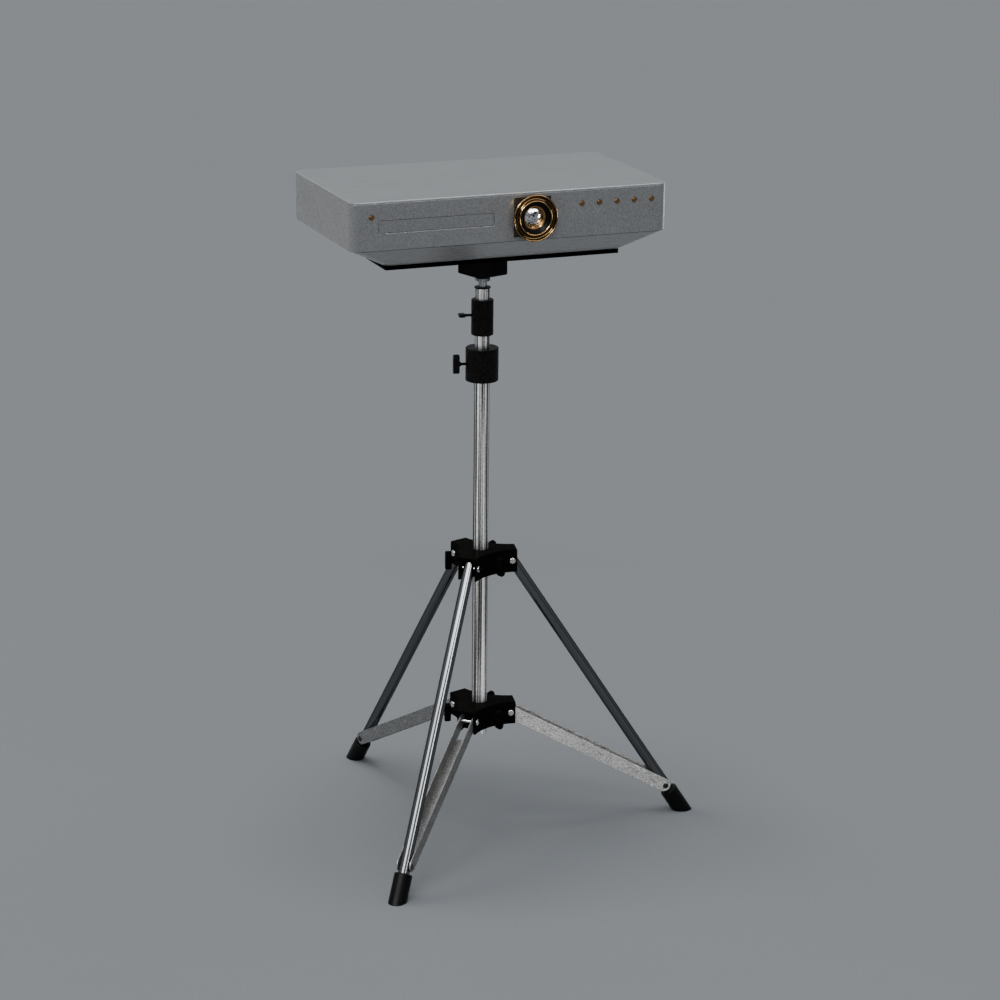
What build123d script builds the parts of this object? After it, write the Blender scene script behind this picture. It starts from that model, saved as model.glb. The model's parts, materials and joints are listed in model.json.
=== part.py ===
"""Desktop video projector on a three-legged telescopic stand, in millimetres.

The origin is on the floor, on the mast's axis. +Z is up, and the lens faces -Y.
The stand's own frame is turned about Z from the projector's frame: stand pieces are
drawn in the stand's frame and turned as they are written.
"""
from build123d import *
from math import asin, atan2, cos, degrees, hypot, radians, sin
import os

os.makedirs("parts", exist_ok=True)

# ---------------------------------------------------------------- driving dimensions
STAND_TURN = 17.43              # stand's frame about Z, from the projector's frame
LEG_HEADINGS = (-30, -150, 90)  # right, front and back leg, in the stand's frame
KNOB_OFFSET = 60                # each hub knob points midway between two legs

# telescopic mast: outer radius of each tube, thin walls that nest
TUBE_WALL = 0.5
RUN_GAP = 0.05                  # radial running clearance of sliding and turning fits
MAIN_R = 11.25
MIDDLE_R = MAIN_R - TUBE_WALL - RUN_GAP
TOP_R = MIDDLE_R - TUBE_WALL - RUN_GAP
MAIN_Z = (142.0, 694.0)
MIDDLE_Z = (250.0, 764.0)
TOP_Z = (390.0, 813.2)
COLLAR_R, COLLAR_Z = 23.6, (678.9, 726.9)
CLAMP_R, CLAMP_Z = 15.85, (745.7, 797.0)
RING_R, RING_Z = 11.7, (813.2, 815.0)
PLUG_DEPTH = 24.0
SPIGOT_R = 5.9
SPIGOT_FLANGE_R, SPIGOT_FLANGE_Z = 10.5, (824.0, 828.0)
SPIGOT_GRIP = 22.0              # how far the spigot reaches up into the head block

# hubs, legs and braces
PIN_RADIUS = 45.0               # distance of each hinge pin from the mast's axis
UPPER_PIN_Z, LOWER_PIN_Z = 410.0, 174.1
HUB_TIP, HUB_EAR_HALF, HUB_SIDE_R = 52.0, 14.1, 28.0
HUB_HALF_HEIGHT, HUB_ROOF = 17.0, 4.0
SLOT_HALF, SLOT_FLOOR_R = 10.9, 32.5
PIN_R, PIN_HEAD_R, PIN_HEAD = 2.5, 4.75, 2.0
LEG_PIVOT_LENGTH, BRACE_LENGTH = 437.3, 271.4
LEG_R, LEG_WALL, LEG_TOP = 8.0, 1.0, 9.0
LEG_END = 470.0
CAP_R, CAP_GAP = 13.0, 11.5     # rubber foot, and its distance below the brace's pivot
BRACE_HALF_WIDTH, BRACE_HALF_HEIGHT, BRACE_SHEET = 10.4, 9.75, 1.5
BRACE_TIP = 7.0
WEB_START, WEB_END = 30.0, 227.0
RIVET_HEAD_R, RIVET_HEAD = 4.2, 1.2

# thumb knobs
KNOB_BAR = (28.0, 10.4)         # length and width of an upright bar
WING_BAR = (15.0, 4.4)          # the clamp's smaller, level wing
KNOB_BAR_DEPTH = 9.0
KNOB_STEM_R, KNOB_BOSS_R, KNOB_BOSS = 2.0, 3.4, 2.0
STEM_GAP = 0.4                  # from a knob's screw to the tube it would press on
HUB_KNOB_R, COLLAR_KNOB_R, CLAMP_KNOB_R = 47.0, 37.0, 29.5
COLLAR_KNOB_Z, CLAMP_KNOB_Z = 703.0, 774.0
COLLAR_KNOB_HEADING = 150       # both mast knobs point this way, in the stand's frame

# screws that hold the platform and the case
SCREW_R, SCREW_LENGTH, SCREW_HEAD_R, SCREW_HEAD = 1.5, 10.0, 3.4, 2.2

# head and platform
BLOCK_SIDE, BLOCK_Z = 50.5, (833.2, 867.4)
PLATE = (347.0, 160.0)
PLATE_Z = (867.4, 874.5)

# projector case
CASE_W, CASE_D, CASE_Z = 464.0, 253.0, (905.0, 969.4)
CASE_X, CASE_Y = -4.0, 5.0      # centre of the case, from the mast's axis
CORNER_R, CASE_WALL = 14.0, 2.5
LID_TOP, LID_EDGE, SEAM = 971.6, 1.1, 0.4
SHELL_EDGE = 1.4                # rounding of the case's upper edge, under the lid
LIP_DEPTH, LIP_WALL, LID_SCREW_Z = 10.0, 2.0, 964.5
TRAY_FOOT, TRAY_CORNER_R = (351.0, 164.0), 8.0
FRONT = CASE_Y - CASE_D / 2
BACK = CASE_Y + CASE_D / 2
SIDE = CASE_X + CASE_W / 2
REAR_HALF = CASE_W / 2 - CORNER_R   # half the rear panel's width

# rear sockets: modules side by side in one cut-out, and the power inlet in its own
MODULE_Z, MODULE_DEPTH, MODULE_SUNK = (916.0, 954.0), 16.0, 0.4
MODULE_GAP = 0.1
SIGNAL_START, SIGNAL_PITCH = -190.0, 45.0
SIGNAL_CAVITIES = ((18.0, 8.0), (18.0, 8.0), (26.0, 12.0), (26.0, 12.0))
CAVITY_DEPTH = 12.0
INLET_X, INLET_WIDTH, INLET_DEPTH = 55.0, 36.0, 22.0
INLET_CAVITY, INLET_CAVITY_DEPTH = (24.0, 16.0), 16.0

# front panel, as X and Z of each feature
LENS_X, LENS_Z = 24.8, 937.0
BEZEL_SIDE, BEZEL_DEPTH, BEZEL_SUNK = 54.5, 4.0, 1.6
BADGE_X, BADGE_Z, BADGE_W, BADGE_H = -114.5, 937.0, 166.0, 17.1
BADGE_DEPTH, BADGE_GROOVE = 1.2, 0.4
BUTTON_Z, BUTTON_R, BUTTON_GAP = 950.6, 3.5, 0.45
BUTTON_PROUD, BUTTON_TRAVEL, BUTTON_FLANGE = 1.0, 0.8, 1.2
POWER_X = -207.7
MENU_X, MENU_PITCH = 98.1, 26.2
FOCUS_R, FOCUS_FRONT, SLEEVE_R = 32.5, 13.0, 24.2
BARREL_R, BARREL_BACK = 22.4, 62.0
RETAINER_R, GLASS_R = 17.2, 13.3

# inside the case
SHAFT_R = 1.5
BOARD = 1.6                     # thickness of each circuit board
POST_R = 3.0
FAN_SIDE, FAN_DEPTH, FAN_ROTOR_R, FAN_HUB_R, FAN_BLADES = 58.0, 15.0, 26.0, 10.0, 7
FAN_Y, FAN_Z, FAN_GAP = 60.0, 937.0, 3.0
WHEEL_X, WHEEL_Y, WHEEL_Z, WHEEL_R = 72.0, -28.0, 936.0, 22.0


# ---------------------------------------------------------------- helpers
def polar(radius, heading, height=0.0):
    """Point at a distance from the mast's axis, on a heading in degrees."""
    return (radius * cos(radians(heading)), radius * sin(radians(heading)), height)


def tube(outer, inner, low, high):
    """Upright round tube between two heights."""
    ring = Circle(outer) - Circle(inner)
    return Pos(0, 0, low) * extrude(ring, amount=high - low)


def rod(radius, low, high):
    """Upright round bar between two heights."""
    return Pos(0, 0, low) * extrude(Circle(radius), amount=high - low)


def block(x, y, z):
    """Box from three (low, high) pairs."""
    sizes = [high - low for low, high in (x, y, z)]
    centre = [(high + low) / 2 for low, high in (x, y, z)]
    return Pos(*centre) * Box(*sizes)


def facing_front(x, z, y=FRONT):
    """Frame on the front panel whose +Z points out of it, towards -Y."""
    return Pos(x, y, z) * Rot(90, 0, 0)


def facing_side(x, y, z):
    """Frame whose +Z points along +X."""
    return Pos(x, y, z) * Rot(0, 90, 0)


def outline(width, depth, corner):
    """Rounded rectangle about the case's centre."""
    return Pos(CASE_X, CASE_Y) * RectangleRounded(width, depth, corner)


def layer(width, depth, corner, low, high):
    """Slab with the case's outline between two heights."""
    return Pos(0, 0, low) * extrude(outline(width, depth, corner), amount=high - low)


def outer_edges(shape, face_axis, place=-1):
    """Edges of the last (or first) face of a shape along an axis."""
    return shape.faces().sort_by(face_axis)[place].edges()


def write(node, *shapes):
    """Write one sub-part as a group of its separate solids."""
    solids = [solid for shape in shapes for solid in shape.solids()]
    export_step(solids[0] if len(solids) == 1 else Compound(children=solids),
                f"parts/{node}.step")


def write_stand(node, *shapes):
    """Write a sub-part that was drawn in the stand's frame."""
    write(node, *[Rot(0, 0, STAND_TURN) * shape for shape in shapes])


# ---------------------------------------------------------------- mast
def knob(bar_radius, tube_radius, bar_size, level):
    """Thumb knob along +X: a bar, its boss and its screw. level turns the bar flat."""
    bar = extrude(SlotOverall(*bar_size), amount=KNOB_BAR_DEPTH)
    bar = fillet(bar.edges(), 1.4)
    boss = rod(min(KNOB_BOSS_R, bar_size[1] / 2), -KNOB_BOSS, 0.5)
    stem_start = tube_radius + STEM_GAP - bar_radius + KNOB_BAR_DEPTH / 2
    stem = rod(KNOB_STEM_R, stem_start, 0.5)
    bar_turn = 0 if level else 90
    shape = Rot(0, 0, bar_turn) * bar + boss + stem
    return Rot(0, 90, 0) * Rot(0, 0, 90) * (Pos(0, 0, bar_radius - KNOB_BAR_DEPTH / 2) * shape)


def knob_hole(inner, outer):
    """Screw hole along +X through a collar or hub wall."""
    return Rot(0, 90, 0) * rod(KNOB_STEM_R + RUN_GAP, inner, outer)


def clamp_collar(outer, heights, lower_r, upper_r, step_z, knob_z):
    """Collar gripping one tube below a step, with the next tube sliding above it."""
    body = rod(outer, *heights)
    body = fillet(body.edges(), 1.2)
    body -= rod(lower_r, heights[0] - 1, step_z)
    body -= rod(upper_r + RUN_GAP, step_z, heights[1] + 1)
    hole = Pos(0, 0, knob_z) * knob_hole(0, outer + 5)
    return body - Rot(0, 0, COLLAR_KNOB_HEADING) * hole


def build_mast():
    write_stand("main_tube", tube(MAIN_R, MAIN_R - TUBE_WALL, *MAIN_Z))
    write_stand("middle_tube", tube(MIDDLE_R, MIDDLE_R - TUBE_WALL, *MIDDLE_Z))
    write_stand("upper_tube", tube(TOP_R, TOP_R - TUBE_WALL, *TOP_Z))

    write_stand("lower_collar",
                clamp_collar(COLLAR_R, COLLAR_Z, MAIN_R, MIDDLE_R, MAIN_Z[1], COLLAR_KNOB_Z))
    write_stand("upper_clamp",
                clamp_collar(CLAMP_R, CLAMP_Z, MIDDLE_R, TOP_R, MIDDLE_Z[1], CLAMP_KNOB_Z))

    ring = rod(RING_R, *RING_Z)
    ring = fillet(ring.edges(), 0.6)
    ring += rod(TOP_R - TUBE_WALL, RING_Z[0] - PLUG_DEPTH, RING_Z[0] + 0.5)
    write_stand("top_bush", ring - rod(SPIGOT_R + RUN_GAP, 700, RING_Z[1] + 1))


def build_mast_knobs():
    heading = Rot(0, 0, COLLAR_KNOB_HEADING)
    collar_knob = knob(COLLAR_KNOB_R, MIDDLE_R, KNOB_BAR, level=False)
    clamp_knob = knob(CLAMP_KNOB_R, TOP_R, WING_BAR, level=True)
    write_stand("collar_knob", heading * Pos(0, 0, COLLAR_KNOB_Z) * collar_knob)
    write_stand("clamp_knob", heading * Pos(0, 0, CLAMP_KNOB_Z) * clamp_knob)


# ---------------------------------------------------------------- hubs and hinge pins
def hub_outline():
    """Three lobes with flat ends, joined by concave side walls."""
    tip_r = hypot(HUB_TIP, HUB_EAR_HALF)
    tip_angle = degrees(atan2(HUB_EAR_HALF, HUB_TIP))
    edges = []
    for heading in (-150, -30, 90):
        first = polar(tip_r, heading - tip_angle)
        last = polar(tip_r, heading + tip_angle)
        waist = polar(HUB_SIDE_R, heading + KNOB_OFFSET)
        following = polar(tip_r, heading + 120 - tip_angle)
        edges += [Line(first, last), ThreePointArc(last, waist, following)]
    return make_face(edges)


def hub():
    """Slotted hub about its pins' height, with a roof over each slot."""
    body = extrude(hub_outline(), amount=2 * HUB_HALF_HEIGHT)
    body = Pos(0, 0, -HUB_HALF_HEIGHT) * body
    body = chamfer(outer_edges(body, Axis.Z), 0.9)
    slot_top = HUB_HALF_HEIGHT - HUB_ROOF
    for heading in LEG_HEADINGS:
        slot = block((SLOT_FLOOR_R, 60), (-SLOT_HALF, SLOT_HALF), (-20, slot_top))
        seats = rod(PIN_R, -20, 20)
        seats += rod(PIN_HEAD_R, HUB_EAR_HALF, 20) + rod(PIN_HEAD_R, -20, -HUB_EAR_HALF)
        body -= Rot(0, 0, heading) * slot
        body -= Rot(0, 0, heading) * Pos(PIN_RADIUS, 0, 0) * Rot(90, 0, 0) * seats
        body -= Rot(0, 0, heading + KNOB_OFFSET) * knob_hole(0, 40)
    return body


def hinge_pins():
    """The three riveted pins of one hub."""
    shank = rod(PIN_R, -HUB_EAR_HALF, HUB_EAR_HALF)
    head = rod(PIN_HEAD_R, HUB_EAR_HALF, HUB_EAR_HALF + PIN_HEAD)
    head = fillet(outer_edges(head, Axis.Z), 1.6)
    pin = shank + head + Rot(180, 0, 0) * head
    return [Rot(0, 0, heading) * Pos(PIN_RADIUS, 0, 0) * Rot(90, 0, 0) * pin
            for heading in LEG_HEADINGS]


def build_hubs():
    upper = Pos(0, 0, UPPER_PIN_Z) * (hub() - rod(MAIN_R + RUN_GAP, -30, 30))
    lower = Pos(0, 0, LOWER_PIN_Z) * (hub() - rod(MAIN_R, -30, 30))
    write_stand("upper_hub", upper)
    write_stand("lower_hub", lower)
    write_stand("upper_hub_pins", *[Pos(0, 0, UPPER_PIN_Z) * pin for pin in hinge_pins()])
    write_stand("lower_hub_pins", *[Pos(0, 0, LOWER_PIN_Z) * pin for pin in hinge_pins()])
    hub_knob = knob(HUB_KNOB_R, MAIN_R, KNOB_BAR, level=False)
    for number, heading in enumerate(LEG_HEADINGS, 1):
        turn = Rot(0, 0, heading + KNOB_OFFSET)
        write_stand(f"upper_hub_knob_{number}", turn * Pos(0, 0, UPPER_PIN_Z) * hub_knob)
        write_stand(f"lower_hub_knob_{number}", turn * Pos(0, 0, LOWER_PIN_Z) * hub_knob)


# ---------------------------------------------------------------- legs and braces
def leg_angles():
    """Angles of a leg and of its brace from the vertical, from the hubs' spacing."""
    rise = UPPER_PIN_Z - LOWER_PIN_Z
    leg_cos = (rise**2 + LEG_PIVOT_LENGTH**2 - BRACE_LENGTH**2) / (2 * rise * LEG_PIVOT_LENGTH)
    leg = degrees(asin((1 - leg_cos**2) ** 0.5))
    brace = degrees(asin(LEG_PIVOT_LENGTH * sin(radians(leg)) / BRACE_LENGTH))
    return leg, brace


def leg_tube():
    """Leg hanging down from its hinge, with the hinge's cross hole."""
    shape = tube(LEG_R, LEG_R - LEG_WALL, -LEG_END, LEG_TOP)
    return shape - Rot(90, 0, 0) * rod(PIN_R + RUN_GAP, -20, 20)


def foot_cap(floor):
    """Rubber foot over the leg's end, cut level where it meets the floor."""
    top = -LEG_PIVOT_LENGTH - CAP_GAP
    shape = rod(CAP_R, top - 80, top)
    shape = fillet(outer_edges(shape, Axis.Z), 1.5)
    shape -= rod(LEG_R, -LEG_END, top + 1)
    return shape - floor


def brace_channel():
    """Pressed channel along +X from the hub's pin, open towards +Z."""
    half = BRACE_HALF_HEIGHT
    end = BRACE_LENGTH - 1
    side = [
        Line((0, -half), (end, -half)),
        ThreePointArc((end, -half), (BRACE_LENGTH + BRACE_TIP, 0), (end, half)),
        Line((end, half), (0, half)),
        ThreePointArc((0, half), (-half, 0), (0, -half)),
    ]
    profile = Plane.XZ * make_face(side)
    shape = extrude(profile, amount=BRACE_HALF_WIDTH, both=True)
    inner = BRACE_HALF_WIDTH - BRACE_SHEET
    shape -= block((-20, 300), (-inner, inner), (BRACE_SHEET - half, 20))
    shape -= block((-20, WEB_START), (-inner, inner), (-20, 20))
    shape -= block((WEB_END, 300), (-inner, inner), (-20, 20))
    shape -= Rot(90, 0, 0) * rod(PIN_R + RUN_GAP, -20, 20)
    return shape - Pos(BRACE_LENGTH, 0, 0) * Rot(90, 0, 0) * rod(PIN_R, -20, 20)


def brace_rivets():
    """The two rivets that hold the leg between the brace's sides."""
    shank = rod(PIN_R, LEG_R + 0.25, BRACE_HALF_WIDTH)
    head = rod(RIVET_HEAD_R, BRACE_HALF_WIDTH, BRACE_HALF_WIDTH + RIVET_HEAD)
    head = fillet(outer_edges(head, Axis.Z), 0.8)
    rivet = shank + head
    frame = Pos(BRACE_LENGTH, 0, 0) * Rot(90, 0, 0)
    return [frame * rivet, frame * Rot(180, 0, 0) * rivet]


def build_legs():
    leg_angle, brace_angle = leg_angles()
    for number, heading in enumerate(LEG_HEADINGS, 1):
        turn = Rot(0, 0, heading)
        leg_frame = Pos(PIN_RADIUS, 0, UPPER_PIN_Z) * Rot(0, -leg_angle, 0)
        brace_frame = Pos(PIN_RADIUS, 0, LOWER_PIN_Z) * Rot(0, 90 - brace_angle, 0)
        floor = leg_frame.inverse() * block((-600, 600), (-600, 600), (-300, 0))
        write_stand(f"leg_{number}", turn * leg_frame * leg_tube())
        write_stand(f"foot_cap_{number}", turn * leg_frame * foot_cap(floor))
        write_stand(f"brace_{number}", turn * brace_frame * brace_channel())
        rivets = [turn * brace_frame * rivet for rivet in brace_rivets()]
        write_stand(f"brace_rivets_{number}", *rivets)


# ---------------------------------------------------------------- head and platform
def screw():
    """Button-head screw with its shank up from height 0 and its head below."""
    head = fillet(outer_edges(rod(SCREW_HEAD_R, -SCREW_HEAD, 0), Axis.Z, 0), 1.2)
    socket = Pos(0, 0, -SCREW_HEAD - 0.2) * extrude(RegularPolygon(1.4, 6), amount=1.5)
    return head + rod(SCREW_R, -0.5, SCREW_LENGTH) - socket


def platform_screw_frames():
    """Screws up through the platform into the tray, beside the head block."""
    return [Pos(x, y, PLATE_Z[0]) for x in (-140, 140) for y in (-55, 55)]


def block_screw_frames():
    """Screws down through the platform into the head block, sunk under the tray."""
    return [Pos(0, 0, PLATE_Z[1] - SCREW_HEAD - 0.4) * Rot(0, 0, STAND_TURN)
            * Pos(x, y) * Rot(180, 0, 0) for x in (-15, 15) for y in (-15, 15)]


def lid_screw_frames():
    """Screws through the case's rear wall into the lid's lip."""
    return [Pos(x, BACK, LID_SCREW_Z) * Rot(90, 0, 0) for x in (-180, 60, 205)]


def screw_holes(frames):
    """Clearance for each screw's shank."""
    return [frame * rod(SCREW_R, -0.5, SCREW_LENGTH) for frame in frames]


def build_head():
    body = block((-BLOCK_SIDE / 2, BLOCK_SIDE / 2), (-BLOCK_SIDE / 2, BLOCK_SIDE / 2), BLOCK_Z)
    body = fillet(body.edges().filter_by(Axis.Z), 2.0)
    body = chamfer(outer_edges(body, Axis.Z, 0), 1.2)
    body -= rod(SPIGOT_R, BLOCK_Z[0] - 1, BLOCK_Z[0] + SPIGOT_GRIP)

    plate = extrude(RectangleRounded(*PLATE, 3), amount=PLATE_Z[1] - PLATE_Z[0])
    plate = Pos(0, 0, PLATE_Z[0]) * plate
    plate = chamfer(outer_edges(plate, Axis.Z) + outer_edges(plate, Axis.Z, 0), 0.6)
    body = Rot(0, 0, STAND_TURN) * body
    for hole in screw_holes(block_screw_frames() + platform_screw_frames()):
        plate -= hole
        body -= hole
    for frame in block_screw_frames():
        plate -= frame * rod(SCREW_HEAD_R + 0.3, -6, 0)
    write("head_block", body)
    write("platform_plate", plate)

    frames = platform_screw_frames() + block_screw_frames() + lid_screw_frames()
    write("case_screws", *[frame * screw() for frame in frames])

    flange = rod(SPIGOT_FLANGE_R, *SPIGOT_FLANGE_Z)
    flange = fillet(flange.edges(), 0.5)
    shank = rod(SPIGOT_R, RING_Z[0] - PLUG_DEPTH + 2, BLOCK_Z[0] + SPIGOT_GRIP)
    write_stand("spigot", shank + flange)


# ---------------------------------------------------------------- projector case
def build_tray():
    """Tapered base, wide under the case and narrow on the platform."""
    low, high = PLATE_Z[1], CASE_Z[0]

    def shell(inset, foot):
        wide = Pos(0, 0, high) * outline(CASE_W - inset, CASE_D - inset, CORNER_R - inset / 2)
        narrow = RectangleRounded(TRAY_FOOT[0] - inset, TRAY_FOOT[1] - inset, TRAY_CORNER_R)
        return loft([Pos(0, 0, foot) * narrow, wide], ruled=True)

    tray = shell(0, low) - shell(2 * CASE_WALL, low + CASE_WALL)
    for hole in screw_holes(platform_screw_frames()):
        tray -= hole
    write("base_tray", tray)


def side_vents():
    """Upright cooling slots through the case's right wall, beside the fan."""
    return [block((SIDE - 5, SIDE + 5), (FAN_Y + offset - 1.3, FAN_Y + offset + 1.3), (914, 958))
            for offset in range(-26, 27, 6)]


def rear_vents():
    """Upright cooling slots through the case's rear wall, behind the lamp."""
    return [block((x - 1.3, x + 1.3), (BACK - 5, BACK + 5), (918, 956))
            for x in range(120, 201, 7)]


def rear_cutouts():
    """Openings in the rear panel for the row of signal sockets and for the inlet."""
    signal_end = SIGNAL_START + SIGNAL_PITCH * len(SIGNAL_CAVITIES)
    half = INLET_WIDTH / 2
    through = (BACK - 5, BACK + 5)
    return [block((SIGNAL_START, signal_end), through, MODULE_Z),
            block((INLET_X - half, INLET_X + half), through, MODULE_Z)]


def button_places():
    """X of the power button and of the five menu buttons."""
    return [POWER_X] + [MENU_X + MENU_PITCH * step for step in range(5)]


def build_shell():
    """Front and sides in one piece, and the rear panel between its back corners."""
    low, high = CASE_Z
    ring = layer(CASE_W, CASE_D, CORNER_R, low, high)
    ring = fillet(outer_edges(ring, Axis.Z), SHELL_EDGE)
    ring -= layer(CASE_W - 2 * CASE_WALL, CASE_D - 2 * CASE_WALL, CORNER_R - CASE_WALL,
                  low - 1, high + 1)
    rear = block((CASE_X - REAR_HALF, CASE_X + REAR_HALF), (BACK - CASE_WALL - 1, BACK + 1),
                 (low - 1, high + 1))
    panel = ring & rear
    for cut in rear_vents() + rear_cutouts() + screw_holes(lid_screw_frames()):
        panel -= cut
    write("rear_panel", panel)

    shell = ring - rear
    bezel = Box(BEZEL_SIDE, BEZEL_SIDE, 20)
    badge = extrude(RectangleRounded(BADGE_W + 2 * BADGE_GROOVE, BADGE_H + 2 * BADGE_GROOVE, 2.4),
                    amount=-BADGE_DEPTH)
    shell -= facing_front(LENS_X, LENS_Z) * bezel
    shell -= facing_front(BADGE_X, BADGE_Z) * badge
    for x in button_places():
        shell -= facing_front(x, BUTTON_Z) * rod(BUTTON_R + BUTTON_GAP, -10, 10)
    for cut in side_vents():
        shell -= cut
    write("case_shell", shell)


def build_lid():
    """Flat cover, with a lip that stands just inside the case's walls."""
    seat = CASE_Z[1]
    cover = layer(CASE_W, CASE_D, CORNER_R, seat, LID_TOP)
    cover = fillet(outer_edges(cover, Axis.Z), LID_EDGE)
    cover = chamfer(outer_edges(cover, Axis.Z, 0), SEAM)
    outer = CASE_WALL + 0.1
    inner = outer + LIP_WALL
    lip = layer(CASE_W - 2 * outer, CASE_D - 2 * outer, CORNER_R - outer, seat - LIP_DEPTH, seat + 1)
    lip -= layer(CASE_W - 2 * inner, CASE_D - 2 * inner, CORNER_R - inner, seat - 50, seat)
    lip -= block((LENS_X - 40, LENS_X + 40), (FRONT, FRONT + 20), (seat - 50, seat))
    for hole in screw_holes(lid_screw_frames()):
        lip -= hole
    write("lid", cover + lip)


def build_front_trim():
    panel = extrude(RectangleRounded(BADGE_W, BADGE_H, 2.0), amount=BADGE_DEPTH - 0.15)
    panel = chamfer(outer_edges(panel, Axis.Z), 0.35)
    write("badge_panel", facing_front(BADGE_X, BADGE_Z, FRONT + BADGE_DEPTH) * panel)

    bezel = extrude(Rectangle(BEZEL_SIDE, BEZEL_SIDE), amount=BEZEL_DEPTH)
    bezel = chamfer(outer_edges(bezel, Axis.Z), 0.8)
    bezel -= rod(SLEEVE_R + 0.6, -5, 10)
    bezel = facing_front(LENS_X, LENS_Z, FRONT + BEZEL_SUNK + BEZEL_DEPTH) * bezel
    write("lens_bezel", bezel)


def build_buttons():
    inside = CASE_WALL + RUN_GAP
    cap = rod(BUTTON_R, -inside, BUTTON_PROUD)
    cap = fillet(outer_edges(cap, Axis.Z), 0.95)
    cap += rod(BUTTON_R + BUTTON_FLANGE, -inside - BUTTON_FLANGE, -inside)
    for index, x in enumerate(button_places()):
        node = "power_button" if index == 0 else f"menu_button_{index}"
        write(node, facing_front(x, BUTTON_Z) * cap)

    switch_r, switch_height = 1.6, 1.9
    board_front = inside + BUTTON_FLANGE + BUTTON_TRAVEL + switch_height + 0.25
    board_y = (FRONT + board_front, FRONT + board_front + BOARD)
    switch = rod(switch_r, -board_front - BOARD / 2, -board_front + switch_height)
    boards = []
    for low, high in ((-222, -194), (86, 215)):
        board = block((low, high), board_y, (942, 957))
        for x in button_places():
            if low < x < high:
                board += facing_front(x, BUTTON_Z) * switch
        boards.append(board)
    write("button_boards", *boards)


# ---------------------------------------------------------------- lens
def spun(points):
    """Turned piece from (radius, distance out of the front panel) corners."""
    profile = make_face(Polyline(*[(r, 0, out) for r, out in points], close=True))
    return facing_front(LENS_X, LENS_Z) * revolve(profile, Axis.Z)


def focus_ring():
    """Dished ring with a bead on its rim and one on its throat, on a plain sleeve."""
    throat = BARREL_R + RUN_GAP
    out = FOCUS_FRONT
    dish = [
        Line((throat, 0, -8), (throat, 0, out - 1.2)),
        ThreePointArc((throat, 0, out - 1.2), (throat + 1.1, 0, out), (throat + 2.2, 0, out - 1.2)),
        ThreePointArc((throat + 2.2, 0, out - 1.2), (27.6, 0, out - 3.6), (30.4, 0, out - 1.2)),
        ThreePointArc((30.4, 0, out - 1.2), (31.6, 0, out), (FOCUS_R, 0, out - 1.6)),
        ThreePointArc((FOCUS_R, 0, out - 1.6), (29.6, 0, out - 6.4), (SLEEVE_R, 0, out - 8.6)),
        Line((SLEEVE_R, 0, out - 8.6), (SLEEVE_R, 0, -8)),
        Line((SLEEVE_R, 0, -8), (throat, 0, -8)),
    ]
    return facing_front(LENS_X, LENS_Z) * revolve(make_face(dish), Axis.Z)


def lens_glass(radius, edge, bulge, out):
    """Convex lens whose front apex is at a distance out of the front panel."""
    profile = [
        ThreePointArc((0, 0, out), (radius * 0.7, 0, out - bulge * 0.48), (radius, 0, out - bulge)),
        Line((radius, 0, out - bulge), (radius, 0, out - bulge - edge)),
        Line((radius, 0, out - bulge - edge), (0, 0, out - bulge - edge)),
        Line((0, 0, out - bulge - edge), (0, 0, out)),
    ]
    return facing_front(LENS_X, LENS_Z) * revolve(make_face(profile), Axis.Z)


def build_lens():
    write("focus_ring", focus_ring())
    front = FOCUS_FRONT - 2.5
    write("lens_barrel", spun([
        (BARREL_R, front), (BARREL_R, -BARREL_BACK), (BARREL_R - 4, -BARREL_BACK),
        (BARREL_R - 4, -6), (GLASS_R, -6), (GLASS_R, -1), (RETAINER_R, -1),
        (RETAINER_R, front - 2.5), (BARREL_R - 1, front),
    ]))
    write("lens_retainer", spun([
        (RETAINER_R, -1), (GLASS_R, -1), (GLASS_R, 4.4), (GLASS_R + 1, 6.0),
        (RETAINER_R - 1, 7.2), (RETAINER_R, 6.4),
    ]))
    write("lens_glasses", lens_glass(GLASS_R, 3.5, 3.6, 6.0),
          lens_glass(BARREL_R - 4, 4.0, 3.0, -40.0))


# ---------------------------------------------------------------- inside the case
def build_light_path():
    """Light engine, finned lamp and colour wheel, behind the lens."""
    back = FRONT + BARREL_BACK
    engine = block((LENS_X - 36, LENS_X + 36), (back, back + 70), (912, 962))
    engine = chamfer(engine.edges().filter_by(Axis.Z), 6)
    engine -= block((LENS_X + 20, LENS_X + 40), (WHEEL_Y - 26, WHEEL_Y + 26), (905, 970))
    shaft = facing_side(0, WHEEL_Y, WHEEL_Z) * rod(SHAFT_R, LENS_X + 15, WHEEL_X + 6)
    write("light_engine", engine + shaft)

    wheel = rod(WHEEL_R, -0.75, 0.75) + rod(7, -4, 4) - rod(SHAFT_R + RUN_GAP, -10, 10)
    write("color_wheel", facing_side(WHEEL_X - 12, WHEEL_Y, WHEEL_Z) * wheel)

    lamp = block((82, 150), (back - 4, back + 66), (910, 962))
    lamp = fillet(lamp.edges().filter_by(Axis.X), 8)
    lamp -= facing_side(0, WHEEL_Y, WHEEL_Z) * rod(12, 70, 130)
    lamp += block((148, 190), (back, back + 60), (912, 916))
    for fin_x in range(154, 190, 4):
        lamp += block((fin_x, fin_x + 2), (back, back + 60), (915, 958))
    write("lamp_module", lamp)


def fan_blade():
    """One pitched blade, reaching from the fan's hub almost to its housing."""
    return Pos((FAN_HUB_R + FAN_ROTOR_R) / 2 - 0.5, 0, 0) * Rot(35, 0, 0) * Box(
        FAN_ROTOR_R - FAN_HUB_R + 1, 11, 1.2)


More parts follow.
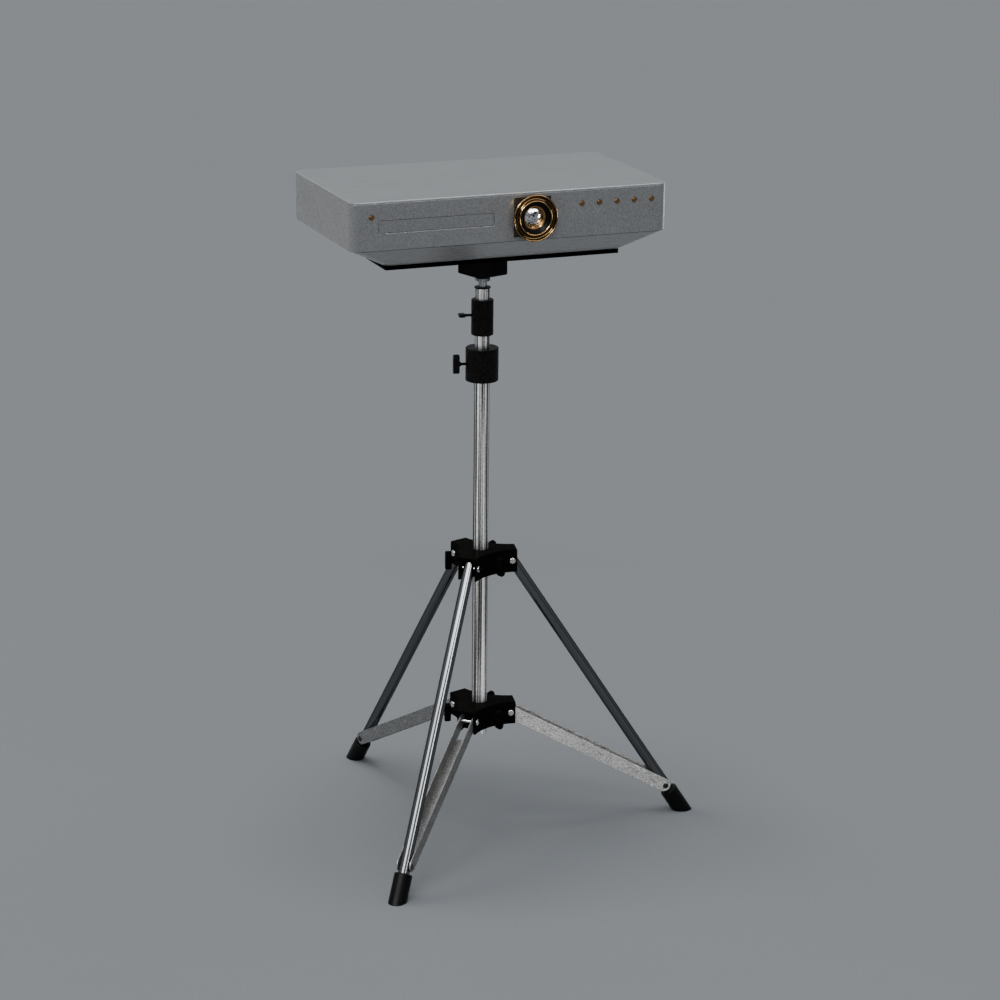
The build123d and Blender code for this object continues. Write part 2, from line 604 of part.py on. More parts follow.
def build_fan():
    frame = facing_side(SIDE - CASE_WALL - FAN_GAP - FAN_DEPTH / 2, FAN_Y, FAN_Z)
    housing = Box(FAN_SIDE, FAN_SIDE, FAN_DEPTH) - rod(FAN_ROTOR_R + 1.2, -20, 20)
    spokes = rod(FAN_HUB_R, -FAN_DEPTH / 2, -FAN_DEPTH / 2 + 1.6)
    for turn in (45, 135):
        spokes += Pos(0, 0, 0.8 - FAN_DEPTH / 2) * Rot(0, 0, turn) * Box(
            2 * FAN_ROTOR_R + 4, 3, 1.6)
    pin = rod(SHAFT_R, -FAN_DEPTH / 2, FAN_DEPTH / 2 - 2)
    write("fan_housing", frame * (housing + spokes + pin))
    rotor = rod(FAN_HUB_R, -4.6, 5)
    for blade in range(FAN_BLADES):
        rotor += Rot(0, 0, 360 / FAN_BLADES * blade) * fan_blade()
    write("fan_rotor", frame * (rotor - rod(SHAFT_R + RUN_GAP, -20, 20)))


def build_boards():
    """Main board in the tray and power supply above it, each on four posts."""
    face = 882.6
    main = block((-150, 150), (-60, 60), (face - BOARD, face))
    chips = ((-90, -10, 34, 3), (-20, 20, 26, 4), (60, -20, 40, 6), (110, 30, 20, 9))
    for x, y, side, height in chips:
        main += Pos(x, y, face + height / 2) * Box(side, side, height)
    for x in (-140, 140):
        for y in (-50, 50):
            main += Pos(x, y) * rod(POST_R, PLATE_Z[1] + CASE_WALL + 3, face - BOARD)
    write("main_board", main)

    face = 914.6
    supply = block((-215, -60), (-60, 60), (face - BOARD, face))
    supply += block((-205, -165), (-45, -5), (face, face + 31.4))
    supply += block((-150, -120), (10, 45), (face, face + 25.4))
    for x, y in ((-95, -35), (-95, -5), (-80, 30)):
        supply += Pos(x, y) * rod(11, face - 0.6, face + 33.4)
    for x in (-208, -68):
        for y in (-52, 52):
            supply += Pos(x, y) * rod(POST_R, face - 8.6, face - BOARD / 2)
    write("power_supply", supply)


def socket_module(x, width, depth, cavity, cavity_depth):
    """Block that fills its part of a rear cut-out, with a cavity open to the back."""
    half = width / 2 - MODULE_GAP
    low, high = MODULE_Z[0] + MODULE_GAP, MODULE_Z[1] - MODULE_GAP
    middle = (low + high) / 2
    body = block((x - half, x + half), (BACK - depth, BACK - MODULE_SUNK), (low, high))
    half_width, half_height = cavity[0] / 2, cavity[1] / 2
    return body - block((x - half_width, x + half_width), (BACK - cavity_depth, BACK),
                        (middle - half_height, middle + half_height))


def build_rear():
    sockets = [socket_module(SIGNAL_START + SIGNAL_PITCH * (index + 0.5), SIGNAL_PITCH,
                             MODULE_DEPTH, cavity, CAVITY_DEPTH)
               for index, cavity in enumerate(SIGNAL_CAVITIES)]
    write("signal_sockets", *sockets)

    inlet = socket_module(INLET_X, INLET_WIDTH, INLET_DEPTH, INLET_CAVITY, INLET_CAVITY_DEPTH)
    middle = sum(MODULE_Z) / 2
    for offset, rise in ((-7, -2), (7, -2), (0, 3)):
        inlet += block((INLET_X + offset - 1, INLET_X + offset + 1),
                       (BACK - INLET_CAVITY_DEPTH - 1, BACK - INLET_CAVITY_DEPTH + 7),
                       (middle + rise - 2, middle + rise + 2))
    write("power_inlet", inlet)


# ---------------------------------------------------------------- build everything
build_mast()
build_mast_knobs()
build_hubs()
build_legs()
build_head()
build_tray()
build_shell()
build_lid()
build_front_trim()
build_buttons()
build_lens()
build_light_path()
build_fan()
build_boards()
build_rear()
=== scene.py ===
"""Materials, lens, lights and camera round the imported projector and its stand, in metres."""
import json
from math import asin, cos, pi, radians, sin

import bmesh
import bpy
from mathutils import Matrix, Vector

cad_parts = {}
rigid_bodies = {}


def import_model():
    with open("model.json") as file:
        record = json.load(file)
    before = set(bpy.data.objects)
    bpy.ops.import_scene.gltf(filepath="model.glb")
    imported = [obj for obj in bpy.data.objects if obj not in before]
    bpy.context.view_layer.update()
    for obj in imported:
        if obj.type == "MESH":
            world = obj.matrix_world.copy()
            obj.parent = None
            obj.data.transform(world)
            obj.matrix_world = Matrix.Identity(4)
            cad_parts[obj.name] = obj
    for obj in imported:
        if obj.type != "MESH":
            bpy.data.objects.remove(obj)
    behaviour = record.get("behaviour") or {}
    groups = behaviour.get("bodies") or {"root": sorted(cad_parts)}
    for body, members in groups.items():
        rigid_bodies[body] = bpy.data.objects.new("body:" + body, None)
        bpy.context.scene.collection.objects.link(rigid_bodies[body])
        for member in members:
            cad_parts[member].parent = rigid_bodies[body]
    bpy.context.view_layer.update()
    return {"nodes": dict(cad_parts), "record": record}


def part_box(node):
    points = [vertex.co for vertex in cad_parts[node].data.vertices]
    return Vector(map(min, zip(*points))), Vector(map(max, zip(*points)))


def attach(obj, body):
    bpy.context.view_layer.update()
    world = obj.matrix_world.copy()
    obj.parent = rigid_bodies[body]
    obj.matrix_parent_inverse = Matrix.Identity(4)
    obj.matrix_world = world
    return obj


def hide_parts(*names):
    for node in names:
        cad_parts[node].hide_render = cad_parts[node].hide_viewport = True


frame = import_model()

MM = 0.001
nodes = frame["nodes"]
body_of = {node: body for body, listed in frame["record"]["behaviour"]["bodies"].items()
           for node in listed}
slot_of = {part["node"]: part["material_slot"] for part in frame["record"]["subparts"]}


# ---------------------------------------------------------------- camera
CAMERA_PLACE = (-1.4616, -3.723, 1.7336)
CAMERA_HEADING, CAMERA_PITCH, CAMERA_ROLL = -21.83, -17.143, 0.577
CAMERA_LENS = 104.4


def make_camera():
    data = bpy.data.cameras.new("camera")
    data.lens = CAMERA_LENS
    data.clip_end = 200
    camera = bpy.data.objects.new("camera", data)
    turn = Matrix.Rotation(radians(CAMERA_HEADING), 4, "Z")
    turn = turn @ Matrix.Rotation(radians(90 + CAMERA_PITCH), 4, "X")
    turn = turn @ Matrix.Rotation(radians(CAMERA_ROLL), 4, "Z")
    camera.matrix_world = Matrix.Translation(CAMERA_PLACE) @ turn
    bpy.context.scene.collection.objects.link(camera)
    bpy.context.scene.camera = camera


# ---------------------------------------------------------------- material helpers
# where an edge begins and is full, as dot products of the rounded and the plain normal
FLAT_FACE, FULL_EDGE = 0.995, 0.88
# how much open sky a seam in full painted shade and an unshaded face see
FULL_SEAM, UNSHADED_FACE = 0.45, 0.9


class Finish:
    """A material being built: a shader, and the texture chains that feed it."""

    def __init__(self, name, colour, roughness, metallic=0.0, **sockets):
        self.material = bpy.data.materials.new(name)
        self.material.use_nodes = True
        self.tree = self.material.node_tree
        self.shader = self.tree.nodes["Principled BSDF"]
        self.colour = colour
        self.roughness = roughness
        self.shader.inputs["Metallic"].default_value = metallic
        self.shader.inputs["Base Color"].default_value = (*colour, 1)
        self.shader.inputs["Roughness"].default_value = roughness
        for socket, value in sockets.items():
            self.shader.inputs[socket.replace("_", " ")].default_value = value
        self.coordinates = self.add("TexCoord").outputs["Object"]
        self.normal = None

    def add(self, kind, inputs=(), **settings):
        made = self.tree.nodes.new("ShaderNode" + kind)
        for key, value in settings.items():
            setattr(made, key, value)
        for key, value in dict(inputs).items():
            if isinstance(value, bpy.types.NodeSocket):
                self.tree.links.new(value, made.inputs[key])
            else:
                made.inputs[key].default_value = value
        return made

    def feed(self, socket, source):
        self.tree.links.new(source, self.shader.inputs[socket])

    def noise(self, size, detail=3.0, stretch=(1, 1, 1), turn=(0, 0, 0), distortion=0.0):
        """Noise with features of a size in metres, drawn out along turned axes."""
        place = self.add("Mapping", {"Vector": self.coordinates, "Rotation": turn,
                                     "Scale": [size * s for s in stretch]},
                         vector_type="TEXTURE")
        return self.add("TexNoise", {"Vector": place.outputs["Vector"], "Scale": 1.0,
                                     "Detail": detail, "Roughness": 0.6,
                                     "Distortion": distortion}).outputs["Fac"]

    def spread(self, value, low, high, start=0.3, end=0.7):
        """A value, spread from start..end onto low..high and held there."""
        return self.add("MapRange", {"Value": value, "From Min": start, "From Max": end,
                                     "To Min": low, "To Max": high}).outputs["Result"]

    def product(self, first, second):
        return self.add("Math", {0: first, 1: second}, operation="MULTIPLY").outputs["Value"]

    def tint(self, shades):
        """Base colour times the product of several shade values."""
        value = shades[0]
        for shade in shades[1:]:
            value = self.product(value, shade)
        mixed = self.add("VectorMath", {0: self.colour, "Scale": value}, operation="SCALE")
        self.feed("Base Color", mixed.outputs["Vector"])
        return mixed.outputs["Vector"]

    def blend_colour(self, amount, first, second):
        mix = self.add("Mix", {0: amount}, data_type="RGBA")
        for index, value in ((6, first), (7, second)):
            if isinstance(value, bpy.types.NodeSocket):
                self.tree.links.new(value, mix.inputs[index])
            else:
                mix.inputs[index].default_value = (*value, 1)
        self.feed("Base Color", mix.outputs[2])

    def vary_roughness(self, value, amount):
        low, high = self.roughness - amount, self.roughness + amount
        self.feed("Roughness", self.spread(value, low, high))

    def bump(self, height, distance, strength=1.0):
        values = {"Height": height, "Distance": distance, "Strength": strength}
        if self.normal is not None:
            values["Normal"] = self.normal
        self.normal = self.add("Bump", values).outputs["Normal"]
        self.feed("Normal", self.normal)

    def soften_edges(self, radius):
        """Round the shading of sharp edges, and return how near an edge is, from 0 to 1."""
        bevel = self.add("Bevel", {"Radius": radius}, samples=4)
        self.normal = bevel.outputs["Normal"]
        self.feed("Normal", self.normal)
        plain = self.add("NewGeometry").outputs["Normal"]
        match = self.add("VectorMath", {0: self.normal, 1: plain}, operation="DOT_PRODUCT")
        return self.spread(match.outputs["Value"], 1.0, 0.0, FULL_EDGE, FLAT_FACE)

    def seams(self, reach, darkest):
        """Painted shade in seams and grooves narrower than a reach, darker where less open sky is
        seen.
        """
        hollow = self.add("AmbientOcclusion", {"Distance": reach}, samples=6)
        return self.spread(hollow.outputs["AO"], darkest, 1.0, FULL_SEAM, UNSHADED_FACE)


# ---------------------------------------------------------------- materials
EDGE_DARKENING = (0.3, 0.3, 0.3, 1)     # of bare metal, where it is seen edge on
TOOL_MARK, TOOL_MARK_DEPTH = 0.35 * MM, 0.004 * MM
ALONG_Z = (0, 0, 0)


def cast_paint(name, colour, roughness, speckle, edge_scuff_and_highlight, coat=0.0, joint=None):
    """Metallic-looking paint with fine grain, faint clouding and lighter edges, partly scuffed and
    partly a painted highlight.

    A joint is the height of a shut line, where a thin line of painted shade is drawn just under it."""
    finish = Finish(name, colour, roughness, metallic=0.25, Coat_Weight=coat,
                    Coat_Roughness=0.25)
    edge = finish.soften_edges(1.1 * MM)
    fine = finish.noise(0.5 * MM, detail=2.0)
    flecks = finish.noise(1.4 * MM, detail=2.0, stretch=(1, 2.6, 1))
    cloud = finish.noise(60 * MM, detail=3.0)
    smear = finish.noise(12 * MM, detail=4.0, stretch=(4, 1, 1))
    shades = [finish.spread(flecks, 1 - speckle, 1 + speckle),
              # the seams term is painted shade that darkens seams and grooves
              finish.spread(cloud, 0.97, 1.03), finish.seams(2.2 * MM, 0.3),
              # edges lighter: partly scuffed paint, partly a painted highlight line
              finish.spread(edge, 1.0, edge_scuff_and_highlight, 0.1, 0.8)]
    # painted shade: a thin dark line under the shut line, where the gap to the case would lie in
    # shade
    if joint is not None:
        height = finish.add("SeparateXYZ", {0: finish.coordinates}).outputs["Z"]
        shades.append(finish.spread(height, 1.0, 0.25, joint - 1.6 * MM, joint - 0.9 * MM))
    finish.tint(shades)
    finish.vary_roughness(smear, 0.05)
    finish.bump(fine, 0.02 * MM)
    finish.bump(flecks, 0.04 * MM)
    return finish.material


def black_paint(name, colour, roughness, grain, grain_depth, scuff_and_highlight, scuff_and_highlight_colour):
    """Black powder coat with an orange-peel grain, lighter along its edges, partly scuffed and
    partly a painted highlight.
    """
    finish = Finish(name, colour, roughness, Specular_IOR_Level=0.01)
    edge = finish.soften_edges(0.9 * MM)
    peel = finish.noise(grain, detail=2.0)
    scuffs = finish.noise(5 * MM, detail=5.0, distortion=0.6)
    shade = finish.tint([finish.spread(finish.noise(25 * MM), 0.8, 1.25)])
    # edges lighter: partly scuffs, partly a painted highlight
    scuffed_and_highlit_edges = finish.product(edge, finish.spread(scuffs, 0.4 * scuff_and_highlight, scuff_and_highlight))
    finish.blend_colour(scuffed_and_highlit_edges, shade, scuff_and_highlight_colour)
    finish.vary_roughness(scuffs, 0.07)
    finish.bump(peel, grain_depth)
    return finish.material


def drawn_metal(name, colour, roughness, turn=ALONG_Z, streak=0.06, speckle=0.0):
    """Drawn metal tube with fine lines and broader bands along its length, and pits."""
    finish = Finish(name, colour, roughness, metallic=1.0, Specular_Tint=EDGE_DARKENING)
    lines = finish.noise(1.7 * MM, detail=1.0, stretch=(1, 1, 150), turn=turn)
    bands = finish.noise(3.4 * MM, detail=1.0, stretch=(1, 1, 160), turn=turn)
    pits = finish.noise(1.2 * MM, detail=1.0, stretch=(1, 1, 2.5), turn=turn)
    finish.tint([finish.spread(lines, 1 - 1.3 * streak, 1 + 1.3 * streak, 0.36, 0.64),
                 finish.spread(bands, 1 - 1.4 * streak, 1 + 1.2 * streak, 0.4, 0.6),
                 finish.spread(pits, 1 - speckle, 1 + speckle)])
    finish.vary_roughness(bands, 0.05)
    finish.bump(lines, 0.004 * MM)
    finish.bump(pits, 0.06 * speckle * MM)
    return finish.material


def turned_metal(name, colour, roughness, axis="Y"):
    """Lathe-turned metal with faint tool marks and a soft tarnish."""
    finish = Finish(name, colour, roughness, metallic=1.0)
    stretch = {"X": (1, 60, 60), "Y": (60, 1, 60), "Z": (60, 60, 1)}[axis]
    rings = finish.noise(TOOL_MARK, detail=2.0, stretch=stretch)
    tarnish = finish.noise(6 * MM, detail=4.0)
    finish.tint([finish.spread(rings, 0.95, 1.05), finish.spread(tarnish, 0.85, 1.08)])
    finish.vary_roughness(tarnish, 0.05)
    finish.bump(rings, TOOL_MARK_DEPTH)
    return finish.material


def speckled_aluminium(name, turn):
    """Pressed sheet with a crystalline grain, bright and dull by turns."""
    finish = Finish(name, (0.43, 0.425, 0.415), 0.42, metallic=1.0, Specular_Tint=EDGE_DARKENING)
    edge = finish.soften_edges(0.8 * MM)
    grain = finish.noise(1.6 * MM, detail=2.0, stretch=(1, 1, 1.6), turn=turn)
    stain = finish.noise(14 * MM, detail=3.0, turn=turn)
    finish.tint([finish.spread(grain, 0.42, 1.55), finish.spread(stain, 0.86, 1.08),
                 # edges painted lighter: a painted highlight
                 finish.spread(edge, 1.0, 1.4, 0.2, 1)])
    finish.vary_roughness(grain, 0.1)
    finish.bump(grain, 0.06 * MM)
    return finish.material


def ring_brass(low, high, rim):
    """Turned brass, painted darker in the dish between the throat and the rim: painted shade
    standing in for the dark surroundings the dish reflects.

    The ring fills the box from low to high, and its bright rim has the given width."""
    finish = Finish("ring_brass", (0.25, 0.155, 0.067), 0.10, metallic=1.0)
    axis = ((low.x + high.x) / 2, 0, (low.z + high.z) / 2)
    offset = finish.add("VectorMath", {0: finish.coordinates, 1: axis}, operation="SUBTRACT")
    flat = finish.add("VectorMath", {0: offset.outputs["Vector"], 1: (1, 0, 1)},
                      operation="MULTIPLY")
    radius = finish.add("VectorMath", {0: flat.outputs["Vector"]}, operation="LENGTH")
    outer = (high.x - low.x) / 2
    bright_rim = finish.spread(radius.outputs["Value"], 0, 1, outer - 1.6 * rim, outer - rim)
    bright_throat = finish.spread(radius.outputs["Value"], 1, 0, outer - 4.6 * rim, outer - 4 * rim)
    outside_dish = finish.add("Math", {0: bright_rim, 1: bright_throat}, operation="MAXIMUM")
    rings = finish.noise(TOOL_MARK, detail=2.0, stretch=(60, 1, 60))
    # painted shade: the dish is darkened, while the rim and the throat's edge are not
    finish.tint([finish.spread(outside_dish.outputs["Value"], 0.30, 1.0, 0, 1),
                 finish.spread(finish.noise(6 * MM, detail=4.0), 0.8, 1.1),
                 finish.spread(rings, 0.95, 1.05)])
    finish.vary_roughness(rings, 0.03)
    finish.bump(rings, TOOL_MARK_DEPTH)
    return finish.material


def moulded(name, colour, roughness, grain=0.5, depth=0.02, mottle=0.07, **sockets):
    """Moulded plastic or rubber with a fine texture and uneven gloss.

    Mottle is how many times lighter or darker the texture makes the colour, less one."""
    finish = Finish(name, colour, roughness, **sockets)
    edge = finish.soften_edges(0.35 * MM)
    fine = finish.noise(grain * MM, detail=2.0)
    cloud = finish.noise(9 * MM, detail=4.0)
    finish.tint([finish.spread(fine, 1 / (1 + mottle), 1 + mottle),
                 finish.spread(cloud, 0.9, 1.12),
                 # edges painted lighter: a painted highlight
                 finish.spread(edge, 1.0, 1.5, 0, 1)])
    finish.vary_roughness(cloud, 0.08)
    finish.bump(fine, depth * MM)
    return finish.material


def optical_glass(name, tint, coating):
    """Clear lens glass with a coating some nanometres thick and a few specks of dust."""
    finish = Finish(name, tint, 0.02, Transmission_Weight=1.0, IOR=1.6,
                    Thin_Film_Thickness=coating, Thin_Film_IOR=1.38)
    dust = finish.noise(0.9 * MM, detail=4.0)
    finish.feed("Roughness", finish.spread(dust, 0.01, 0.12, 0.62, 0.8))
    finish.tint([finish.spread(finish.noise(12 * MM), 0.96, 1.0)])
    return finish.material


def coated_glass(name, metallic, facet_depth, darkest):
    """Lens glass with a mirror-like coating, painted in random patches of light and dark that stand
    in for reflections.

    Shallow facets break up what it reflects."""
    finish = Finish(name, (0.86, 0.83, 0.85), 0.04, metallic=metallic, Transmission_Weight=1.0,
                    IOR=1.6)
    facets = finish.noise(3.0 * MM, detail=1.0, distortion=1.0)
    reflection_patches = finish.noise(4 * MM, detail=1.0, distortion=1.5)
    # painted reflection: the coating's colour goes from near black to bright in random patches
    finish.tint([finish.spread(reflection_patches, darkest, 1.1, 0.42, 0.47)])
    finish.bump(facets, facet_depth)
    return finish.material


def floor_paper():
    """Seamless grey studio paper with a faint fibre."""
    finish = Finish("studio_paper", (0.150, 0.159, 0.169), 0.9, Specular_IOR_Level=0.2)
    fibre = finish.noise(4 * MM, detail=4.0)
    finish.tint([finish.spread(fibre, 0.95, 1.05), finish.spread(finish.noise(0.8), 0.985, 1.015)])
    finish.bump(fibre, 0.1 * MM, strength=0.3)
    return finish.material


def along(node):
    """Rotation that turns +Z to run up a leg or a brace, from one end of it to the other."""
    points = sorted((vertex.co for vertex in nodes[node].data.vertices), key=lambda point: point.z)
    count = len(points) // 4
    foot = sum(points[:count], Vector()) / count
    top = sum(points[-count:], Vector()) / count
    return Vector((0, 0, 1)).rotation_difference(top - foot).to_euler()


BLACK = (0.003, 0.003, 0.003)
DEEP_BLACK = (0.0015, 0.0015, 0.0015)
FINISHES = {
    "case_paint": cast_paint("case_paint", (0.30, 0.30, 0.303), 0.40, 0.30, edge_scuff_and_highlight=1.6),
    "lid_paint": cast_paint("lid_paint", (0.33, 0.34, 0.35), 0.34, 0.14, edge_scuff_and_highlight=5.0, coat=0.3),
    "badge_paint": cast_paint("badge_paint", (0.30, 0.30, 0.303), 0.36, 0.30, edge_scuff_and_highlight=1.0),
    "brass": turned_metal("brass", (0.33, 0.19, 0.075), 0.11),
    "lens_black": turned_metal("lens_black", (0.015, 0.015, 0.015), 0.3),
    "bezel_bronze": moulded("bezel_bronze", (0.055, 0.043, 0.034), 0.4),
    "lens_glass": optical_glass("lens_glass", (0.98, 0.99, 1.0), 110),
    "black_metal": black_paint("black_metal", DEEP_BLACK, 0.34, 1.2 * MM, 0.03 * MM,
                               0.8, (0.12, 0.12, 0.12)),
    "platform_board": black_paint("platform_board", DEEP_BLACK, 0.5, 0.8 * MM, 0.04 * MM,
                                  0.5, (0.05, 0.05, 0.05)),
    "black_plastic": moulded("black_plastic", (0.0045, 0.0042, 0.004), 0.3, grain=1.7,
                             mottle=4.0, Specular_IOR_Level=0.04),
    "tube_steel": drawn_metal("tube_steel", (0.76, 0.745, 0.72), 0.44, streak=0.56, speckle=0.45),
    "chrome": turned_metal("chrome", (0.80, 0.80, 0.80), 0.12, axis="Z"),
    "foot_rubber": moulded("foot_rubber", BLACK, 0.34, grain=0.8, depth=0.05,
                           Specular_IOR_Level=0.15),
    "board_green": moulded("board_green", (0.01, 0.08, 0.03), 0.4),
    "inner_metal": drawn_metal("inner_metal", (0.50, 0.50, 0.48), 0.35),
    "socket_black": moulded("socket_black", (0.015, 0.015, 0.016), 0.5),
    "wheel_glass": turned_metal("wheel_glass", (0.45, 0.50, 0.62), 0.08, axis="X"),
}
OWN_FINISHES = {
    "base_tray": cast_paint("tray_paint", (0.42, 0.41, 0.40), 0.26, 0.14, edge_scuff_and_highlight=2.0, coat=0.4,
                            joint=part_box("case_shell")[0][2]),
    "focus_ring": ring_brass(*(Vector(corner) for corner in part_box("focus_ring")), 1.7 * MM),
    "spigot": drawn_metal("spigot_steel", (0.36, 0.36, 0.36), 0.2, streak=0.4, speckle=0.2),
    "head_block": black_paint("block_paint", (0.015, 0.0138, 0.013), 0.5, 1.4 * MM, 0.06 * MM,
                              0.6, (0.07, 0.07, 0.07)),
}
HUB_BLACK = moulded("hub_black", (0.003, 0.0028, 0.0025), 0.34, grain=1.7, mottle=2.0,
                    Specular_IOR_Level=0.003)
for name in nodes:
    if name in ("upper_hub", "lower_hub") or "hub_knob" in name:
        OWN_FINISHES[name] = HUB_BLACK
for number in (1, 2, 3):
    leg, brace, rivets = (f"{kind}_{number}" for kind in ("leg", "brace", "brace_rivets"))
    OWN_FINISHES[leg] = drawn_metal(f"steel_{leg}", (0.17, 0.175, 0.182), 0.06, along(leg))
    OWN_FINISHES[brace] = speckled_aluminium(f"aluminium_{brace}", along(brace))
    OWN_FINISHES[rivets] = turned_metal(f"steel_{rivets}", (0.07, 0.068, 0.065), 0.3, axis="Z")


def paint_nodes():
    for name, node in nodes.items():
        node.data.materials.clear()
        node.data.materials.append(OWN_FINISHES.get(name) or FINISHES[slot_of[name]])


# ---------------------------------------------------------------- lens
def link(name, data):
    made = bpy.data.objects.new(name, data)
    bpy.context.scene.collection.objects.link(made)
    return made


CAP_RINGS, SEGMENTS = 24, 96
ON_AXIS = 1e-6                          # radius under which a profile point is on the axis


def cap(radius, bulge, apex):
    """Points on a ball's cap, from its apex to its rim, as radius and depth."""
    ball = (radius**2 + bulge**2) / (2 * bulge)
    widest = asin(radius / ball)
    angles = [widest * step / CAP_RINGS for step in range(CAP_RINGS + 1)]
    return [(ball * sin(angle), apex + ball * (1 - cos(angle))) for angle in angles]


def lathe(name, profile, axis, material):
    """Solid turned about the lens's axis, from a profile of radius and depth."""
    shape = bmesh.new()
    turns = [2 * pi * step / SEGMENTS for step in range(SEGMENTS)]
    rows = []
    for radius, depth in profile:
        if radius < ON_AXIS:
            rows.append([shape.verts.new((axis.x, axis.y + depth, axis.z))] * SEGMENTS)
            continue
        rows.append([shape.verts.new((axis.x + radius * cos(turn), axis.y + depth,
                                      axis.z + radius * sin(turn))) for turn in turns])
    for first, second in zip(rows, rows[1:]):
        for place in range(SEGMENTS):
            after = (place + 1) % SEGMENTS
            corners = dict.fromkeys([first[place], first[after], second[after], second[place]])
            shape.faces.new(corners)
    bmesh.ops.recalc_face_normals(shape, faces=shape.faces)
    data = bpy.data.meshes.new(name)
    shape.to_mesh(data)
    shape.free()
    data.shade_smooth()
    data.set_sharp_from_angle(angle=radians(40))
    data.materials.append(material)
    return link(name, data)


# each lens element's radius, bulge and thickness at its edge
FRONT_GLASS = (13.3 * MM, 3.6 * MM, 3.5 * MM)
INNER_GLASS = (13.2 * MM, 5.0 * MM, 1.0 * MM)
REAR_GLASS = (18.4 * MM, 3.0 * MM, 4.0 * MM)
INNER_DEPTH = 7.6 * MM


def element(name, measures, apex, axis, material):
    """Lens element with a bulging face and a flat back, its apex at a depth along the axis."""
    radius, bulge, edge = measures
    back = apex + bulge + edge
    return lathe(name, cap(radius, bulge, apex) + [(radius, back), (0, back)], axis, material)


def make_lens():
    low, high = (Vector(corner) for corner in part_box("lens_glasses"))
    axis = Vector(((low.x + high.x) / 2, low.y, (low.z + high.z) / 2))
    depth = high.y - low.y
    front = element("front_element", FRONT_GLASS, 0, axis,
                    coated_glass("front_coating", 0.92, 0.10 * MM, 0.03))
    inner = element("inner_element", INNER_GLASS, INNER_DEPTH, axis,
                    coated_glass("inner_coating", 1.0, 0.5 * MM, 0.01))
    rear_apex = depth - REAR_GLASS[1] - REAR_GLASS[2]
    rear = element("rear_element", REAR_GLASS, rear_apex, axis, FINISHES["lens_glass"])
    for piece in (front, inner, rear):
        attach(piece, body_of["lens_glasses"])
        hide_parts("lens_glasses")


# ---------------------------------------------------------------- studio
FLOOR_HALF = 60.0
DOME_HORIZON, DOME_ZENITH = 0.10, 1.0
KEY_PLACE, KEY_STRENGTH, KEY_ANGLE = (-3.0, 2.1, 2.7), 1.65, 38
KEY_COLOUR = (1.0, 0.98, 0.95)
# lights the floor alone, so that the case's soft shadow lies round the mast's foot
OVERHEAD_PLACE, OVERHEAD_STRENGTH, OVERHEAD_ANGLE = (-0.15, 0.1, 3.0), 2.0, 30
MIDDLE = (0, 0, 0.6)                    # what the lamps point at
MAST_PARTS = ("main_tube", "middle_tube", "upper_tube")
LENS_PARTS = ("focus_ring", "lens_retainer", "front_element", "inner_element")
# boxes that only shiny surfaces show: name, place, width, height, radiance, and what they
# shine on, by the start of its name, or () for everything
SHEENS = (
    ("left_sheen", (-4.2, -1.6, 3.2), 0.5, 2.6, 9, ()),
    ("camera_left_sheen", (-3.1, -2.7, 4.1), 3.0, 1.8, 6, ()),
    ("right_sheen", (1.3, -3.7, 2.9), 0.7, 2.4, 12, ("leg_2", "upper_hub_pins", "lower_hub_pins")),
    ("edge_sheen", (1.0, -1.0, 3.6), 1.6, 1.6, 9, ("lid", "case_shell")),
    ("corner_sheen", (3.4, 1.3, 0.4), 0.5, 0.8, 14, ("lid", "case_shell")),
    ("ring_sheen", (-2.6, -2.0, 3.4), 1.6, 1.0, 60, ("focus_ring", "lens_retainer")),
    ("lens_sheen", (1.05, -2.75, 2.35), 3.4, 0.8, 9, LENS_PARTS),
    ("low_right_sheen", (3.6, -2.4, 0.3), 0.8, 1.2, 26, LENS_PARTS),
    ("brace_sheen", (-0.5, -3.4, 0.5), 3.0, 0.9, 10, ("brace_1", "brace_2")),
    ("leg_sheen", (-3.1, -2.7, 4.1), 3.0, 1.8, 14, ("leg_2",)),
    ("mast_left_sheen", (-0.47, -0.16, 0.3), 0.4, 0.8, 1.0, MAST_PARTS),
    ("mast_right_sheen", (0.24, -0.44, 0.3), 0.35, 0.8, 0.7, MAST_PARTS),
)


def make_floor():
    corners = [(x * FLOOR_HALF, y * FLOOR_HALF, 0) for x, y in ((-1, -1), (1, -1), (1, 1), (-1, 1))]
    data = bpy.data.meshes.new("floor")
    data.from_pydata(corners, [], [(0, 1, 2, 3)])
    data.materials.append(floor_paper())
    floor = link("floor", data)


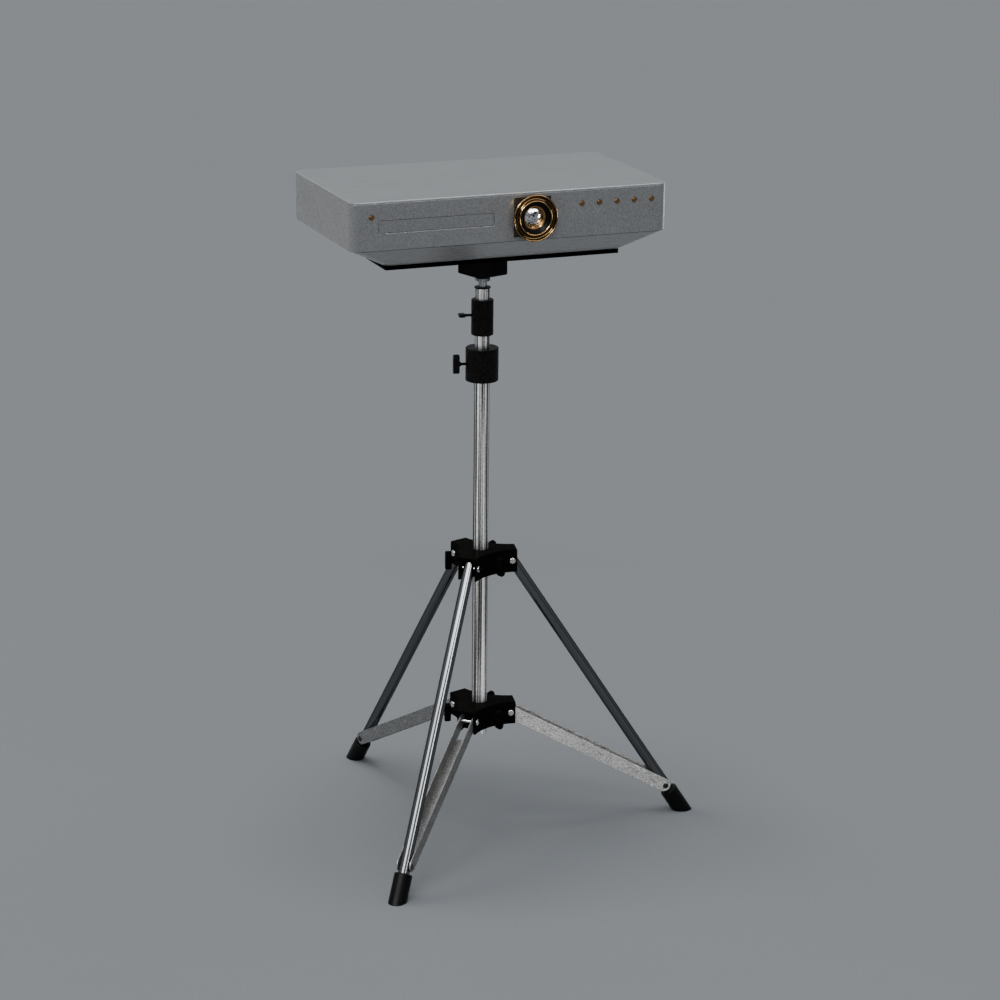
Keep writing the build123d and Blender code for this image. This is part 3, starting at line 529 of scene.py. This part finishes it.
def lamp(name, kind, place, aim, energy, colour=(1, 1, 1)):
    """Light that shines from place to aim, and that the camera doesn't see."""
    data = bpy.data.lights.new(name, kind)
    data.energy = energy
    data.color = colour
    made = link(name, data)
    made.location = place
    made.rotation_mode = "QUATERNION"
    made.rotation_quaternion = (Vector(aim) - Vector(place)).to_track_quat("-Z", "Y")
    made.visible_camera = False
    return data


def shine_on(name, targets):
    """Let a light reach only the meshes whose names start with one of the targets."""
    lit = bpy.data.collections.new(f"{name}_targets")
    for thing in bpy.data.objects:
        if thing.type == "MESH" and thing.name.startswith(targets):
            lit.objects.link(thing)
    bpy.data.objects[name].light_linking.receiver_collection = lit


def soft_box(name, place, width, height, energy):
    data = lamp(name, "AREA", place, MIDDLE, energy)
    data.shape = "RECTANGLE"
    data.size, data.size_y = width, height


def make_world():
    """Dome that is bright overhead and dark at the horizon."""
    world = bpy.data.worlds.new("studio")
    world.use_nodes = True
    tree = world.node_tree
    direction = tree.nodes.new("ShaderNodeTexCoord")
    split = tree.nodes.new("ShaderNodeSeparateXYZ")
    rise = tree.nodes.new("ShaderNodeMapRange")
    rise.inputs["To Min"].default_value = DOME_HORIZON
    rise.inputs["To Max"].default_value = DOME_ZENITH
    background = tree.nodes["Background"]
    background.inputs["Color"].default_value = (0.93, 0.97, 1.0, 1)
    tree.links.new(direction.outputs["Generated"], split.inputs["Vector"])
    tree.links.new(split.outputs["Z"], rise.inputs["Value"])
    tree.links.new(rise.outputs["Result"], background.inputs["Strength"])
    bpy.context.scene.world = world


def make_lights():
    sun = lamp("key", "SUN", KEY_PLACE, MIDDLE, KEY_STRENGTH, KEY_COLOUR)
    sun.angle = radians(KEY_ANGLE)
    bpy.data.objects["key"].visible_glossy = False
    sun = lamp("overhead", "SUN", OVERHEAD_PLACE, (0, 0, 0), OVERHEAD_STRENGTH)
    sun.angle = radians(OVERHEAD_ANGLE)
    shine_on("overhead", ("floor",))
    soft_box("front_strip", (-1.3, -3.6, 3.9), 1.6, 0.5, 30)
    for name, place, width, height, radiance, targets in SHEENS:
        soft_box(name, place, width, height, radiance * pi * width * height)
        bpy.data.objects[name].visible_diffuse = False
        if targets:
            shine_on(name, targets)


make_camera()
paint_nodes()
make_lens()
make_floor()
make_world()
make_lights()
